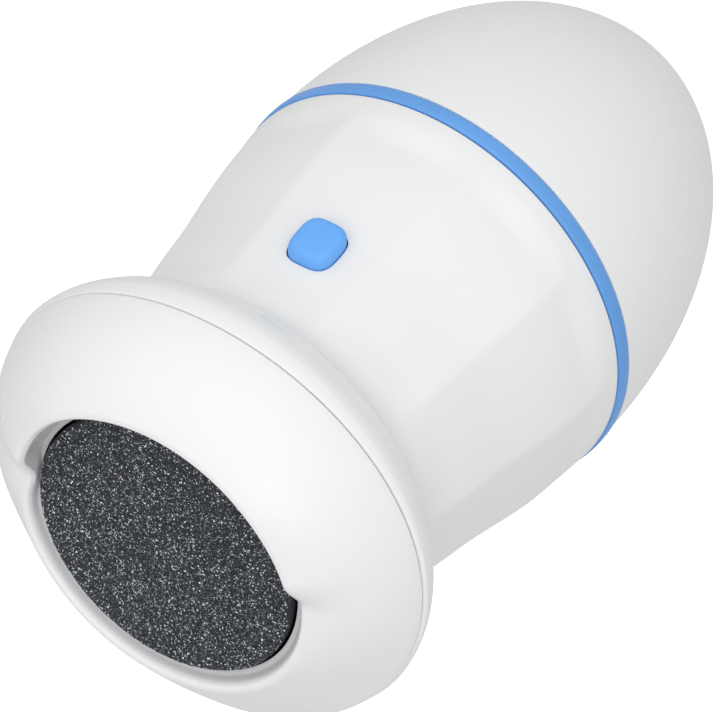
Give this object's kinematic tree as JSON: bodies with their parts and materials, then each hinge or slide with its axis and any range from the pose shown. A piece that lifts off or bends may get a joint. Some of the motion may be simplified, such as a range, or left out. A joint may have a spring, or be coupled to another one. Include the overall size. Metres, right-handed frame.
{
  "type": "electric callus remover",
  "caption": "Egg-shaped rechargeable callus remover with a spinning round abrasive disc in a flared removable cap, a dust fan, a blue power button and a blue accent ring.",
  "frame": {"origin": "centre of the flat on the tail that the device stands on", "axes": "+Z along the device from the tail to the abrasive disc, -Y towards the side with the power button, +X completes the right-handed frame"},
  "size_m": [0.0812, 0.0812, 0.134],
  "materials": {
    "white_shell": "glossy white ABS",
    "blue_plastic": "satin light blue ABS",
    "abrasive_grit": "coarse dark silicon carbide grit with bright crystals",
    "dark_plastic": "matt dark grey plastic",
    "grey_plastic": "matt mid grey plastic",
    "sponge_foam": "open cell dark foam",
    "steel": "zinc plated steel",
    "brass": "plain brass",
    "copper": "turned copper",
    "ferrite": "sintered ferrite",
    "board_green": "green solder mask",
    "cell_sleeve": "shrink sleeve",
    "seal_rubber": "grey silicone",
    "light_lens": "clear red lens",
    "lead_red": "insulated wire",
    "lead_black": "insulated wire"
  },
  "bodies": {
    "housing": {"accent_ring": "blue_plastic", "battery_cell": "cell_sleeve", "battery_holder": "dark_plastic", "battery_lead_black": "lead_black", "battery_lead_red": "lead_red", "board_screw_1": "steel", "board_screw_2": "steel", "cap_seal": "seal_rubber", "charge_board": "board_green", "charge_light": "light_lens", "charge_socket": "steel", "chassis": "dark_plastic", "chassis_screw_1": "steel", "chassis_screw_2": "steel", "chassis_screw_3": "steel", "circuit_board": "board_green", "dust_tray": "grey_plastic", "fan_screw_1": "steel", "fan_screw_2": "steel", "fan_screw_3": "steel", "fan_shroud": "grey_plastic", "filter_frame": "dark_plastic", "front_bushing": "brass", "front_housing": "white_shell", "holder_screw_1": "steel", "holder_screw_2": "steel", "magnet_left": "ferrite", "magnet_right": "ferrite", "motor_bulkhead": "dark_plastic", "motor_can": "steel", "motor_end_cap": "dark_plastic", "motor_lead_black": "lead_black", "motor_lead_red": "lead_red", "motor_screw_1": "steel", "motor_screw_2": "steel", "motor_terminal_left": "brass", "motor_terminal_right": "brass", "rear_bushing": "brass", "rear_housing": "white_shell", "socket_tongue": "dark_plastic", "sponge_filter": "sponge_foam", "switch_body": "steel"},
    "cap": {"nozzle_cap": "white_shell"},
    "spindle": {"motor_shaft": "steel", "motor_rotor": "steel", "commutator": "copper", "fan_impeller": "grey_plastic", "drive_hub": "grey_plastic"},
    "grinding_head": {"disc_backing": "dark_plastic", "abrasive_disc": "abrasive_grit"},
    "button": {"power_button": "blue_plastic"},
    "plunger": {"switch_plunger": "dark_plastic"}
  },
  "joints": [
    {"name": "spindle_spin", "type": "hinge", "parent": "housing", "child": "spindle", "pos_m": [0, 0, 0.1], "axis": [0, 0, 1], "continuous": true},
    {"name": "head_pull", "type": "slide", "parent": "spindle", "child": "grinding_head", "axis": [0, 0, 1], "range_m": [0, 0.03]},
    {"name": "cap_pull", "type": "slide", "parent": "housing", "child": "cap", "axis": [0, 0, 1], "range_m": [0, 0.04]},
    {"name": "button_press", "type": "slide", "parent": "housing", "child": "button", "axis": [0, 1, 0], "range_m": [0, 0.0008], "stiffness_N_per_m": 600},
    {"name": "plunger_press", "type": "slide", "parent": "housing", "child": "plunger", "axis": [0, 1, 0], "range_m": [0, 0.0003]}
  ],
  "couplings": [
    {"joint": "plunger_press", "follows": "button_press", "ratio": 0.375}
  ]
}
